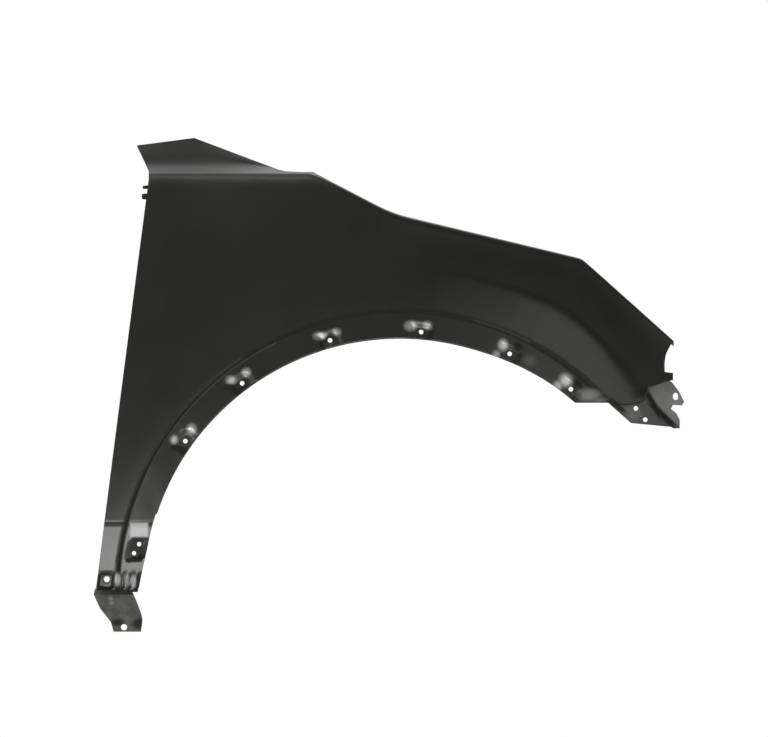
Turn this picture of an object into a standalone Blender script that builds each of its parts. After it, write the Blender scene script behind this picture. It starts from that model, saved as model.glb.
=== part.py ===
"""Right-hand front fender of a compact crossover, stamped from sheet steel, with three welded brackets.

Metres. X points forward, Y towards the car's middle (inboard), Z up. All points are worked out
from the wheel centre, and the finished part is then moved so that its origin is the middle of the
rear bolting pad under the hood-side ledge.
"""

from collections import namedtuple
from math import asin, atan2, ceil, cos, degrees, pi, radians, sin, sqrt, tan

import bmesh
import bpy
from mathutils import Matrix, Vector

# Sheets and clearances
SHEET = 0.0008
BRACKET_SHEET = 0.0012
WELD_GAP = 0.0003
CUT_OVERRUN = 0.012
JOIN_DISTANCE = 0.00001
HOLE_SIDES = 16

# Wheel arch, seen from the side: circles about the wheel centre
ARCH_RADIUS = 0.3828
ARCH_FRONT_RISE = 0.0065
ARCH_RISE_DEGREES = (104.0, 134.0)
RECESS_WIDTH = 0.0417
BAND_WIDTH = 0.068
BAND_NARROWING = 0.022
BAND_NARROW_DEGREES = (120.0, 142.0)
STEP_RUN = 0.004
RECESS_DEPTH = 0.007
LIP_BEND = 0.0015
LIP_DEPTH = 0.011
ARCH_END_DEGREES = 137.4
STEP_RADIUS = ARCH_RADIUS + RECESS_WIDTH

# Outer edge, seen from the side: how far it stands off the arch's step, and at which angle
DOOR_SKIN_WIDTH = 0.0315
DOOR_EDGE_LEAN_SHARE = 0.129
SHOULDER_RISE = 0.210
HOOD_CORNER_WIDTH = 0.2217
HOOD_CORNER_DEGREES = 78.41
COWL_BEND_WIDTH = 0.1466
COWL_BEND_DEGREES = 88.90
COWL_BEND_RADIUS = 0.21
FRONT_CORNER_WIDTH = 0.1483
FRONT_CORNER_DEGREES = 118.58
FRONT_CORNER_RADIUS = 0.02
NOSE_WIDTH = 0.1366
NOSE_DEGREES = 137.93
DOOR_EDGE_REACH = STEP_RADIUS + DOOR_SKIN_WIDTH
SHOULDER_HEIGHT = STEP_RADIUS + SHOULDER_RISE

# Windscreen-pillar tip above the shoulder
TIP_LEAN = 0.0243
TIP_CORNER_RISE = 0.039
TIP_PEAK_RISE = 0.051
TIP_CORNER_INSET = 0.052
TIP_PEAK_INSET = 0.064
TIP_END_INSET = 0.016
TIP_END_RISE = 0.0
TIP_SAG_RUN = 0.032
TIP_SAG_RISE = 0.010
TIP_PEAK_DEGREES = 66.1
TIP_END_DEGREES = 75.0

# How far the skin lies inboard: sweep in plan, tumblehome above the belly and tuck below it
SWEEP_START = -0.10
SWEEP_LENGTH = 0.52
NOSE_SWEEP = 0.110
SWEEP_POWER = 2.4
BELLY_HEIGHT = 0.27
TUMBLEHOME = 0.028
TUCK_UNDER = 0.022

# Flare round the arch
FLARE_REAR = 0.008
FLARE_FRONT = 0.020
BAND_FALL_SHARE = 0.25
CREASE_LIMIT_SHARE = 0.52
FLARE_REAR_DEGREES = (10.0, 50.0)
FLARE_FRONT_DEGREES = (60.0, 115.0)
CREASE_DEGREES = (84.0, 116.0)

# Top edge, with a size each for the shoulder, the hood line and the headlamp edge
ROLL_DROP = (0.014, 0.008, 0.005)
ROLL_RUN = (0.020, 0.010, 0.005)
GUTTER_DEPTH = (0.010, 0.024, 0.007)
LEDGE_WIDTH = (0.016, 0.028, 0.010)
LAND_WIDTH = 0.006
GUTTER_RUN = 0.004
ROLL_STEPS = 3
LAND_STEPS = 4
LEDGE_STEPS = 2

# Edge flanges, turned inboard
DOOR_FLANGE = 0.012
NOSE_FLANGE = 0.009

# Clip pads along the arch flange
PAD_DEGREES = (35.6, 53.3, 74.7, 94.7, 114.6, 129.9)
PAD_HALF_LENGTH = 0.017
PAD_WALL = 0.0055
PAD_DEPTH = 0.0045
PAD_HOLE_INSET = 0.0115
CLIP_HOLE = 0.0070

# Bolting pads on the hood-side ledge
LEDGE_PAD_FORWARD = (0.020, 0.185)
LEDGE_PAD_HALF = 0.013
LEDGE_HOLE = 0.0085

# Lower leg: heights above the wheel centre
LEG_TANGENT_DEGREES = 12.5
LEG_TOP_HEIGHT = 0.120
JOGGLE_HEIGHT = 0.108
JOGGLE_RUN = 0.004
JOGGLE_DEPTH = 0.0045
LOWER_LEG_TILT = 0.012
LEG_FOOT_HEIGHT = 0.003
LEG_PAD_TOP = 0.084
LEG_PAD_BOTTOM = 0.051
RELIEF_WALL = 0.0045
LEG_PAD_DEPTH = 0.005
BEAD_TOP = 0.033
BEAD_BOTTOM = 0.006
BEAD_DEPTH = 0.003
LEG_HOLE = 0.0065
SOCKET_HOLE = 0.009
RADIAL_FROM_DEGREES = 28.0

# Front lower corner tab: how far the ends of its lower edge lie forward of the skin's lower corner,
# and how far below it
FRONT_TURN_DEGREES = 126.0
TAB_REAR_REACH = 0.035
TAB_REAR_DROP = 0.031
TAB_FRONT_REACH = 0.0965
TAB_FRONT_DROP = 0.037
TAB_TOP_RISE = 0.011
TAB_JOGGLE = 0.0035
TAB_FALL = 0.010
TAB_STEPS = 4
TAB_HOLE = 0.0070

# Small locating tab on the front edge
NIB_REACH = 0.0125
NIB_TAPER_SHARE = 0.25

# Bracket welded under the pillar tip, with two prongs that point to the rear
PILLAR_BRACKET_INSETS = (0.010, 0.029, 0.048)
WELD_FLANGE_shares = (0.52, 0.25)
UPPER_PRONG_DROP = 0.0212
UPPER_PRONG_DEPTH = 0.0062
UPPER_PRONG_REACH = 0.0080
LOWER_PRONG_DROP = 0.033
LOWER_PRONG_DEPTH = 0.0105
LOWER_PRONG_REACH = 0.0074
PRONG_TIP_SHARE = 0.45
PILLAR_BRACKET_DROP = 0.0565

# Bracket below the leg, drawn as shares of a box that stands out behind the leg and below it
SILL_BRACKET_OVERHANG = 0.0030
SILL_BRACKET_DROP = 0.0600
SILL_BRACKET_WIDTH = 0.0728
SILL_BRACKET_HEIGHT = 0.0810
SILL_BRACKET_STEP = 0.004
SILL_BRACKET_TILT = 0.010
SILL_TAB_LENGTH = 0.0187
SILL_HOLE = 0.0095
SILL_HOLE_shares = (0.618, 0.084)
SILL_BRACKET_shares = (
    (0.165, 1.000),
    (0.763, 1.000),
    (0.804, 0.720),
    (0.887, 0.551),
    (0.979, 0.327),
    (1.000, 0.215),
    (0.969, 0.000),
    (0.402, 0.000),
    (0.350, 0.178),
    (0.124, 0.439),
    (0.000, 0.690),
    (0.020, 0.780),
)

# Bracket at the front lower corner, drawn as shares of a box placed from the skin's lower corner
BUMPER_BRACKET_REACH = 0.0513
BUMPER_BRACKET_DROP = 0.0391
BUMPER_BRACKET_WIDTH = 0.0645
BUMPER_BRACKET_HEIGHT = 0.0818
BUMPER_BRACKET_CLEARANCE = 0.0014
BUMPER_SLOT_WIDTH = 0.0080
BUMPER_SLOT_LENGTH = 0.0110
BUMPER_SLOT_shares = (0.794, 0.587)
BUMPER_BRACKET_shares = (
    (0.047, 0.706),
    (0.070, 0.945),
    (0.420, 1.000),
    (0.570, 0.927),
    (0.720, 0.844),
    (0.884, 0.670),
    (1.000, 0.486),
    (0.942, 0.422),
    (0.733, 0.431),
    (0.686, 0.358),
    (0.814, 0.284),
    (0.895, 0.156),
    (0.895, 0.000),
    (0.740, 0.000),
    (0.150, 0.570),
)
STRIP_WIDTH = 0.012

# Places along a column, as shares of each zone's width
FLANGE_shares = (0.04, 0.15, 0.30, 0.50, 0.68, 0.84, 1.0)
BAND_shares = (0.0, 0.26, 0.52, 0.76, 1.0)
SIDE_shares = (0.15, 0.30, 0.455, 0.565, 0.68, 0.80, 0.90, 1.0)
PAD_FLOOR_share = 0.50
PAD_RIM_share = 0.68
LEG_PAD_shares = (0.08, 0.76, 0.10)
SOCKET_shares = (0.12, 0.96, 0.12)
SOCKET_HOLE_shares = (0.51, 0.61)
LEG_HOLES_shares = ((0.386, 0.727), (0.518, 0.318))
TAB_HOLES_shares = ((0.119, 0.531), (0.350, 0.162))
COLUMN_STEP_DEGREES = 3.6

# Extra turn, in degrees, of the skin's front end beyond the arch's end, by share of the skin's width
FRONT_END_shares = (
    (0.00, 0.1),
    (0.13, 2.5),
    (0.27, 4.0),
    (0.36, 3.9),
    (0.45, 2.8),
    (0.55, 3.5),
    (0.65, 4.05),
    (0.84, 0.7),
    (0.90, 0.5),
    (1.00, 0.0),
)
NIB_ROWS = (2, 3)

# Finish colours
EPRIMER = (0.018, 0.018, 0.017, 1.0)
OLIVE_PRIMER = (0.085, 0.085, 0.070, 1.0)
GREY_PRIMER = (0.20, 0.20, 0.195, 1.0)
PRIMER_ROUGHNESS = 0.38

Row = namedtuple("Row", "zone share")


def ramp(value, start, end):
    """Rise smoothly from 0 at start to 1 at end."""
    t = min(1.0, max(0.0, (value - start) / (end - start)))
    return t * t * (3.0 - 2.0 * t)


def lerp(a, b, share):
    return a + (b - a) * share


def lookup(table, value):
    """Straight-line reading of a table of (place, reading) pairs."""
    for (place, reading), (next_place, next_reading) in zip(table, table[1:]):
        if value <= next_place:
            return lerp(reading, next_reading, (value - place) / (next_place - place))
    return table[-1][1]


def between(value, low, high, wall):
    """1 inside a range, falling to 0 across a wall at each end."""
    return min(1.0, max(0.0, min(value - low, high - value) / wall))


def fillet(before, corner, after, radius, steps=4):
    """Points along the arc that rounds a corner of an outline."""
    towards = (before - corner).normalized()
    away = (after - corner).normalized()
    half = towards.angle(away) / 2
    start = corner + towards * (radius / tan(half))
    end = corner + away * (radius / tan(half))
    middle = corner + (towards + away).normalized() * (radius / sin(half))
    points = []
    for step in range(steps + 1):
        spoke = (start - middle).lerp(end - middle, step / steps)
        points.append(middle + spoke.normalized() * radius)
    return points


def polar_degrees(point):
    """Angle about the wheel centre: 0 is level to the rear, 90 is straight up."""
    return degrees(atan2(point.y, -point.x))


def on_circle(radius, angle):
    return Vector((-radius * cos(radians(angle)), radius * sin(radians(angle))))


def door_edge(height):
    return Vector((-DOOR_EDGE_REACH + DOOR_EDGE_LEAN_SHARE * height, height))


def top_outline():
    """The rolled edge's crest from the hood corner to the nose, seen from the side."""
    hood = on_circle(STEP_RADIUS + HOOD_CORNER_WIDTH, HOOD_CORNER_DEGREES)
    cowl = on_circle(STEP_RADIUS + COWL_BEND_WIDTH, COWL_BEND_DEGREES)
    front = on_circle(STEP_RADIUS + FRONT_CORNER_WIDTH, FRONT_CORNER_DEGREES)
    nose = on_circle(STEP_RADIUS + NOSE_WIDTH, NOSE_DEGREES)
    bend = fillet(hood, cowl, front, COWL_BEND_RADIUS)
    corner = fillet(cowl, front, nose, FRONT_CORNER_RADIUS, 2)
    return [hood] + bend + corner + [nose]


TOP_OUTLINE = top_outline()
SHOULDER_START = door_edge(SHOULDER_HEIGHT - ROLL_DROP[0])
SHOULDER_REAR = Vector((SHOULDER_START.x, SHOULDER_HEIGHT))
SHOULDER_DEGREES = polar_degrees(SHOULDER_START)
SKIN_CORNER = on_circle(STEP_RADIUS, ARCH_END_DEGREES)
LEG_TOP_DEGREES = degrees(asin(LEG_TOP_HEIGHT / STEP_RADIUS))


def outline_degrees(forward):
    """Angle at which the top outline reaches a place along the car."""
    for start, end in zip(TOP_OUTLINE, TOP_OUTLINE[1:]):
        if forward <= end.x:
            return polar_degrees(start.lerp(end, (forward - start.x) / (end.x - start.x)))
    return ARCH_END_DEGREES


def crest(angle):
    """Crest of the rolled top edge, seen from the side, at a column's angle."""
    if angle <= HOOD_CORNER_DEGREES:
        share = (angle - SHOULDER_DEGREES) / (HOOD_CORNER_DEGREES - SHOULDER_DEGREES)
        return SHOULDER_REAR.lerp(TOP_OUTLINE[0], share)
    ray = on_circle(STEP_RADIUS, angle)
    for start, end in zip(TOP_OUTLINE, TOP_OUTLINE[1:]):
        if angle <= polar_degrees(end):
            break
    run = end - start
    return ray * (start.cross(run) / ray.cross(run))


def by_zone(sizes, angle):
    """A size that changes from the shoulder to the hood line and on to the headlamp edge."""
    shoulder, hood, lamp = sizes
    size = lerp(shoulder, hood, ramp(angle, TIP_END_DEGREES, HOOD_CORNER_DEGREES + COLUMN_STEP_DEGREES))
    return lerp(size, lamp, ramp(angle, FRONT_CORNER_DEGREES, FRONT_CORNER_DEGREES + COLUMN_STEP_DEGREES))


def skin_end(angle):
    """Where the skin ends at the outer end of a column: on the door edge, or where the roll starts."""
    if angle < SHOULDER_DEGREES:
        ray = on_circle(STEP_RADIUS, angle)
        return ray * (DOOR_EDGE_REACH / (DOOR_EDGE_LEAN_SHARE * ray.y - ray.x))
    top = crest(angle)
    if angle <= HOOD_CORNER_DEGREES:
        return top - Vector((0.0, by_zone(ROLL_DROP, angle)))
    return top - top.normalized() * by_zone(ROLL_DROP, angle)


def crease_radius(angle):
    """The flare's crease, which draws in towards the arch at the front."""
    width = BAND_WIDTH - BAND_NARROWING * ramp(angle, *BAND_NARROW_DEGREES)
    room = skin_end(angle).length - STEP_RADIUS
    return STEP_RADIUS + min(width, CREASE_LIMIT_SHARE * room)


def arch_radius(angle):
    """The arch's edge, which rises a little towards the flange's front end."""
    return ARCH_RADIUS + ARCH_FRONT_RISE * ramp(angle, *ARCH_RISE_DEGREES)


def arch_edge(height):
    """The leg's front edge follows the arch, then leaves it along its tangent."""
    start = on_circle(ARCH_RADIUS, LEG_TANGENT_DEGREES)
    if height > start.y:
        return -sqrt(ARCH_RADIUS**2 - height**2)
    return start.x - (start.y - height) * tan(radians(LEG_TANGENT_DEGREES))


def level_point(row, height):
    """A row's place on a level line across the leg."""
    if row.zone == "flange":
        foot = -sqrt((STEP_RADIUS - STEP_RUN) ** 2 - height**2)
        return Vector((lerp(arch_edge(height), foot, row.share), height))
    step = -sqrt(STEP_RADIUS**2 - height**2)
    door = door_edge(height).x
    return Vector((lerp(step, door, width_share(row)), height))


def width_share(row):
    """A skin row's place on the leg, as a share from the step to the door edge."""
    if row.zone == "band":
        return CREASE_LIMIT_SHARE * row.share
    if row.zone == "side":
        return lerp(CREASE_LIMIT_SHARE, 1.0, row.share)
    return row.share


def radial_point(row, angle):
    """A row's place on a line that runs out from the wheel centre."""
    if row.zone == "flange":
        return on_circle(lerp(arch_radius(angle), STEP_RADIUS - STEP_RUN, row.share), angle)
    crease = crease_radius(angle)
    if row.zone == "band":
        return on_circle(lerp(STEP_RADIUS, crease, row.share), angle)
    return on_circle(crease, angle).lerp(skin_end(angle), row.share)


def turned_to_front(point, angle):
    """Swing a point of the last columns round to the skin's front end."""
    share = (point.length - STEP_RADIUS) / (skin_end(angle).length - STEP_RADIUS)
    turn = lookup(FRONT_END_shares, max(0.0, share))
    fade = (angle - FRONT_TURN_DEGREES) / (ARCH_END_DEGREES - FRONT_TURN_DEGREES)
    return on_circle(point.length, polar_degrees(point) + turn * fade)


def side_point(row, angle):
    """A row's place on a column, seen from the side."""
    height = STEP_RADIUS * sin(radians(angle))
    if angle <= LEG_TOP_DEGREES:
        return level_point(row, height)
    point = radial_point(row, angle)
    if angle < RADIAL_FROM_DEGREES:
        share = (angle - LEG_TOP_DEGREES) / (RADIAL_FROM_DEGREES - LEG_TOP_DEGREES)
        return level_point(row, height).lerp(point, share)
    if angle > FRONT_TURN_DEGREES and row.zone != "flange":
        return turned_to_front(point, angle)
    return point


def flare(point):
    """How far the wheel-arch flare stands outboard."""
    angle = polar_degrees(point)
    bounded = min(angle, ARCH_END_DEGREES)
    crease = crease_radius(bounded)
    end = skin_end(bounded).length
    radius = min(end, max(point.length, STEP_RADIUS))
    soft = cos(pi / 2 * (radius - STEP_RADIUS) / (end - STEP_RADIUS)) ** 2
    if radius <= crease:
        sharp = 1.0 - BAND_FALL_SHARE * (crease - radius) / (crease - STEP_RADIUS)
    else:
        sharp = ((end - radius) / (end - crease)) ** 2
    amount = FLARE_REAR * ramp(angle, *FLARE_REAR_DEGREES)
    amount += (FLARE_FRONT - FLARE_REAR) * ramp(angle, *FLARE_FRONT_DEGREES)
    return amount * lerp(soft, sharp, ramp(angle, *CREASE_DEGREES))


def skin_depth(point):
    """How far inboard the skin lies at a point of the side view."""
    sweep = max(0.0, (point.x - SWEEP_START) / SWEEP_LENGTH)
    depth = NOSE_SWEEP * sweep**SWEEP_POWER
    if point.y > BELLY_HEIGHT:
        depth += TUMBLEHOME * ((point.y - BELLY_HEIGHT) / (SHOULDER_HEIGHT - BELLY_HEIGHT)) ** 2
    else:
        depth += TUCK_UNDER * ((BELLY_HEIGHT - point.y) / BELLY_HEIGHT) ** 2
    if point.x < 0.0 and point.y < JOGGLE_HEIGHT:
        depth += JOGGLE_DEPTH * min(1.0, (JOGGLE_HEIGHT - point.y) / JOGGLE_RUN)
        depth += LOWER_LEG_TILT * (JOGGLE_HEIGHT - point.y) / JOGGLE_HEIGHT
    return depth - flare(point)


def clip_pad_relief(share, angle):
    """Depth of the clip pads, which are dished into the arch flange and open at its edge."""
    across = min(1.0, max(0.0, (PAD_RIM_share - share) / (PAD_RIM_share - PAD_FLOOR_share)))
    away = min(abs(radians(angle - middle)) * ARCH_RADIUS for middle in PAD_DEGREES)
    return PAD_DEPTH * across * between(PAD_HALF_LENGTH - away, 0.0, PAD_HALF_LENGTH, PAD_WALL)


def leg_relief(row, height):
    """Recesses and upright beads pressed into the lower leg."""
    beads = between(height, BEAD_BOTTOM, BEAD_TOP, RELIEF_WALL)
    if row.zone == "flange":
        pad = between(row.share, *LEG_PAD_shares)
        pad *= between(height, LEG_PAD_BOTTOM, LEG_PAD_TOP, RELIEF_WALL)
        return LEG_PAD_DEPTH * pad + BEAD_DEPTH * beads * (FLANGE_shares.index(row.share) % 2)
    return LEG_PAD_DEPTH * beads * between(width_share(row), *SOCKET_shares)


def sheet_point(row, angle):
    """A row's place in space, on the outer face of the sheet."""
    point = side_point(row, angle)
    depth = skin_depth(point)
    if row.zone == "flange":
        depth += RECESS_DEPTH + clip_pad_relief(row.share, angle)
    if angle <= LEG_TOP_DEGREES:
        depth += leg_relief(row, point.y)
    return Vector((point.x, depth, point.y))


def in_space(point, depth):
    return Vector((point.x, depth, point.y))


def column_angles():
    """Angles of all columns: those that features need, and even steps between them."""
    keys = {SHOULDER_DEGREES, TIP_PEAK_DEGREES, TIP_END_DEGREES, HOOD_CORNER_DEGREES}
    keys |= {RADIAL_FROM_DEGREES, ARCH_END_DEGREES, LEG_TOP_DEGREES}
    keys |= {polar_degrees(point) for point in TOP_OUTLINE[1:-1]}
    for middle in PAD_DEGREES:
        for reach in (PAD_HALF_LENGTH, PAD_HALF_LENGTH - PAD_WALL):
            turn = degrees(reach / ARCH_RADIUS)
            keys |= {middle - turn, middle + turn}
    for forward in LEDGE_PAD_FORWARD:
        keys |= {outline_degrees(forward - LEDGE_PAD_HALF), outline_degrees(forward + LEDGE_PAD_HALF)}
    heights = [LEG_FOOT_HEIGHT, JOGGLE_HEIGHT - JOGGLE_RUN, JOGGLE_HEIGHT]
    for low, high in ((BEAD_BOTTOM, BEAD_TOP), (LEG_PAD_BOTTOM, LEG_PAD_TOP)):
        heights += [low, low + RELIEF_WALL, high - RELIEF_WALL, high]
    keys |= {degrees(asin(height / STEP_RADIUS)) for height in heights}
    keys = sorted(keys)
    angles = []
    for start, end in zip(keys, keys[1:]):
        count = ceil((end - start) / COLUMN_STEP_DEGREES)
        angles += [lerp(start, end, step / count) for step in range(count)]
    return angles + [keys[-1]]


def top_edge_offset(angle):
    """From the roll's crest to the inboard top edge: the pillar tip's edge, or the gutter's."""
    stations = (SHOULDER_DEGREES, TIP_PEAK_DEGREES, TIP_END_DEGREES, HOOD_CORNER_DEGREES)
    insets = (TIP_CORNER_INSET, TIP_PEAK_INSET, TIP_END_INSET, LAND_WIDTH)
    rises = (TIP_CORNER_RISE, TIP_PEAK_RISE, TIP_END_RISE, 0.0)
    rise = lookup(tuple(zip(stations, rises)), angle)
    return Vector((-TIP_LEAN * rise / TIP_PEAK_RISE, lookup(tuple(zip(stations, insets)), angle), rise))


def ledge_height(top, angle):
    """Height of the bolting ledge: level across each pad, and following the top edge between."""
    for forward in LEDGE_PAD_FORWARD:
        low = outline_degrees(forward - LEDGE_PAD_HALF)
        high = outline_degrees(forward + LEDGE_PAD_HALF)
        if low - JOIN_DISTANCE <= angle <= high + JOIN_DISTANCE:
            return crest(outline_degrees(forward)).y - by_zone(GUTTER_DEPTH, angle)
    return top - by_zone(GUTTER_DEPTH, angle)


def roll_point(angle, share):
    """A point of the rounded edge, from the skin's end (0) to the roll's crest (1)."""
    end = side_point(Row("side", 1.0), angle)
    up = Vector((0.0, 1.0)) if angle <= HOOD_CORNER_DEGREES else end.normalized()
    turn = pi / 2 * share
    place = end + up * by_zone(ROLL_DROP, angle) * sin(turn)
    return in_space(place, skin_depth(end) + by_zone(ROLL_RUN, angle) * (1.0 - cos(turn)))


def land_point(angle, share):
    """A point of the land, from the roll's crest (0) to the top edge (1)."""
    edge = top_edge_offset(angle)
    bend = edge / 2
    if edge.z > TIP_SAG_RISE:
        bend = Vector((edge.x * TIP_SAG_RISE / edge.z, TIP_SAG_RUN, TIP_SAG_RISE))
    return roll_point(angle, 1.0) + bend * (2.0 * share * (1.0 - share)) + edge * share**2


def edge_profile(angle):
    """Roll, land, gutter and ledge above one column, from the skin's end inboard."""
    points = [roll_point(angle, step / ROLL_STEPS) for step in range(1, ROLL_STEPS + 1)]
    points += [land_point(angle, step / LAND_STEPS) for step in range(1, LAND_STEPS + 1)]
    height = ledge_height(points[-1].z, angle)
    lean = top_edge_offset(angle).x / TIP_CORNER_RISE
    gutter = Vector((points[-1].x + lean * (height - points[-1].z), points[-1].y + GUTTER_RUN, height))
    for step in range(LEDGE_STEPS + 1):
        reach = by_zone(LEDGE_WIDTH, angle) * step / LEDGE_STEPS
        points.append(gutter + Vector((0.0, reach, 0.0)))
    return points


def extrude_row(bm, row, points):
    """Extrude a chain of edges and put its new vertices on the given points."""
    edges = [bm.edges.get(pair) for pair in zip(row, row[1:])]
    made = bmesh.ops.extrude_edge_only(bm, edges=edges)["geom"]
    fresh = {item for item in made if isinstance(item, bmesh.types.BMVert)}
    new_row = []
    for vert, point in zip(row, points):
        twin = next(edge.other_vert(vert) for edge in vert.link_edges if edge.other_vert(vert) in fresh)
        twin.co = point
        new_row.append(twin)
    return new_row


def start_chain(bm, points):
    """A chain of edges through points."""
    chain = [bm.verts.new(point) for point in points]
    for pair in zip(chain, chain[1:]):
        bm.edges.new(pair)
    return chain


def loft_skin(bm, angles):
    """Arch flange, step, flare band and side skin, from the arch edge out to the outer edge."""
    rows = [Row("flange", share) for share in FLANGE_shares]
    rows += [Row("band", share) for share in BAND_shares]
    rows += [Row("side", share) for share in SIDE_shares]
    grid = [start_chain(bm, [sheet_point(rows[0], angle) for angle in angles])]
    for row in rows[1:]:
        grid.append(extrude_row(bm, grid[-1], [sheet_point(row, angle) for angle in angles]))
    return grid


def add_arch_lip(bm, grid, angles):
    """The inboard lip that stiffens the arch edge above the leg."""
    first = angles.index(LEG_TOP_DEGREES)
    edge_row = Row("flange", 0.0)
    bend = []
    tip = []
    for angle in angles[first:]:
        point = side_point(edge_row, angle)
        depth = skin_depth(point) + RECESS_DEPTH
        bend.append(in_space(point, depth + clip_pad_relief(0.0, angle) + LIP_BEND))
        tip.append(in_space(point, depth + LIP_DEPTH))
    row = extrude_row(bm, grid[0][first:], bend)
    extrude_row(bm, row, tip)


def add_top_edge(bm, grid, angles):
    """Roll, pillar tip, hood gutter and bolting ledge along the top of the skin."""
    first = angles.index(SHOULDER_DEGREES)
    profiles = [edge_profile(angle) for angle in angles[first:]]
    row = grid[-1][first:]
    for points in zip(*profiles):
        row = extrude_row(bm, row, points)


def add_door_flange(bm, grid, angles):
    """The return flange down the door edge, from the shoulder to the joggle."""
    first = angles.index(LEG_TOP_DEGREES)
    last = angles.index(SHOULDER_DEGREES)
    row = grid[-1][first : last + 1]
    extrude_row(bm, row, [vert.co + Vector((0.0, DOOR_FLANGE, 0.0)) for vert in row])


def add_front_edge(bm, grid):
    """Nose flange, locating tab and lower corner tab along the front end of the skin."""
    band = [row[-1] for row in grid[len(FLANGE_shares) : -len(SIDE_shares)]]
    side = [row[-1] for row in grid[-len(SIDE_shares) :]]
    nose = side[NIB_ROWS[1] :]
    extrude_row(bm, nose, [vert.co + Vector((0.0, NOSE_FLANGE, 0.0)) for vert in nose])
    add_locating_tab(bm, [side[row] for row in NIB_ROWS])
    add_corner_tab(bm, band)


def add_locating_tab(bm, edge):
    """A short tapered tab that runs on forward from the skin's front edge."""
    middle = (edge[0].co + edge[-1].co) / 2
    points = []
    for vert in edge:
        place = vert.co.lerp(middle, NIB_TAPER_SHARE) + Vector((NIB_REACH, 0.0, 0.0))
        points.append(in_space(place.xz, skin_depth(place.xz)))
    extrude_row(bm, edge, points)


def add_corner_tab(bm, edge):
    """The joggled flange below the skin's front lower corner."""
    rear = tab_point(0.0, 0.0)
    front = tab_point(1.0, 0.0)
    starts = [vert.co.xz for vert in edge]
    row = edge
    for step in range(1, TAB_STEPS + 1):
        share = (step / TAB_STEPS) ** 2
        places = []
        for index, start in enumerate(starts):
            goal = rear.lerp(front, index / (len(starts) - 1))
            places.append(start.lerp(goal, share))
        row = extrude_row(bm, row, [in_space(place, corner_depth(place)) for place in places])


def tab_point(along, up):
    """A point of the corner tab: shares along its lower edge, and up from there to its top."""
    rear = SKIN_CORNER + Vector((TAB_REAR_REACH, -TAB_REAR_DROP))
    front = SKIN_CORNER + Vector((TAB_FRONT_REACH, -TAB_FRONT_DROP))
    point = rear.lerp(front, along)
    return Vector((point.x, lerp(point.y, SKIN_CORNER.y + TAB_TOP_RISE, up)))


def corner_depth(place):
    """Depth of the corner tab, which is joggled inboard and falls away downwards."""
    fall = max(0.0, SKIN_CORNER.y + TAB_TOP_RISE - place.y) / (TAB_TOP_RISE + TAB_FRONT_DROP)
    return skin_depth(place) + TAB_JOGGLE + TAB_FALL * fall


def trim_arch_flange(bm, grid):
    """Cut the front end of the arch flange off level with the skin's lower front corner."""
    level = grid[len(FLANGE_shares)][-1].co.copy()
    reach = STEP_RADIUS + JOIN_DISTANCE
    faces = []
    for face in bm.faces:
        spots = [vert.co for vert in face.verts]
        near_end = all(polar_degrees(spot.xz) > FRONT_CORNER_DEGREES for spot in spots)
        if near_end and all(spot.xz.length < reach for spot in spots):
            faces.append(face)
    edges = {edge for face in faces for edge in face.edges}
    verts = {vert for face in faces for vert in face.verts}
    bmesh.ops.bisect_plane(
        bm,
        geom=list(verts) + list(edges) + faces,
        dist=JOIN_DISTANCE,
        plane_co=level,
        plane_no=(0.0, 0.0, -1.0),
        clear_outer=True,
    )


def face_outboard(bm):
    """Turn the sheet's faces so that the skin looks outboard."""
    bmesh.ops.recalc_face_normals(bm, faces=bm.faces)
    if sum(face.normal.y * face.calc_area() for face in bm.faces) > 0.0:
        bmesh.ops.reverse_faces(bm, faces=bm.faces)


def add_round_cutter(bm, centre, axis, diameter, length):
    """A closed cylinder that cuts one round hole."""
    turn = Vector((0.0, 0.0, 1.0)).rotation_difference(axis).to_matrix().to_4x4()
    bmesh.ops.create_cone(
        bm,
        cap_ends=True,
        segments=HOLE_SIDES,
        radius1=diameter / 2,
        radius2=diameter / 2,
        depth=length,
        matrix=Matrix.Translation(centre) @ turn,
    )


def side_cutter(bm, point, diameter):
    """A cutter that runs inboard through the sheet at a point of the side view."""
    centre = in_space(point, skin_depth(point) + RECESS_DEPTH)
    add_round_cutter(bm, centre, Vector((0.0, 1.0, 0.0)), diameter, 2 * CUT_OVERRUN)


def ledge_pad_centre(forward):
    """Middle of a bolting pad, on the upper face of the ledge."""
    angle = outline_degrees(forward)
    inner, outer = edge_profile(angle)[-1], edge_profile(angle)[-1 - LEDGE_STEPS]
    return (inner + outer) / 2


def panel_cutters():
    """All holes of the stamping."""
    bm = bmesh.new()
    for angle in PAD_DEGREES:
        side_cutter(bm, on_circle(arch_radius(angle) + PAD_HOLE_INSET, angle), CLIP_HOLE)
    for across, up in LEG_HOLES_shares:
        point = level_point(Row("flange", across), lerp(LEG_PAD_BOTTOM, LEG_PAD_TOP, up))
        side_cutter(bm, point, LEG_HOLE)
    across, up = SOCKET_HOLE_shares
    side_cutter(bm, level_point(Row("skin", across), lerp(BEAD_BOTTOM, BEAD_TOP, up)), SOCKET_HOLE)
    for along, up in TAB_HOLES_shares:
        side_cutter(bm, tab_point(along, up), TAB_HOLE)
    for forward in LEDGE_PAD_FORWARD:
        centre = ledge_pad_centre(forward)
        add_round_cutter(bm, centre, Vector((0.0, 0.0, 1.0)), LEDGE_HOLE, 2 * CUT_OVERRUN)
    return bm


def even_steps(low, high, width):
    """Places that divide a stretch into even strips no wider than a width."""
    count = ceil((high - low) / width)
    return [lerp(low, high, step / count) for step in range(1, count)]


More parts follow.
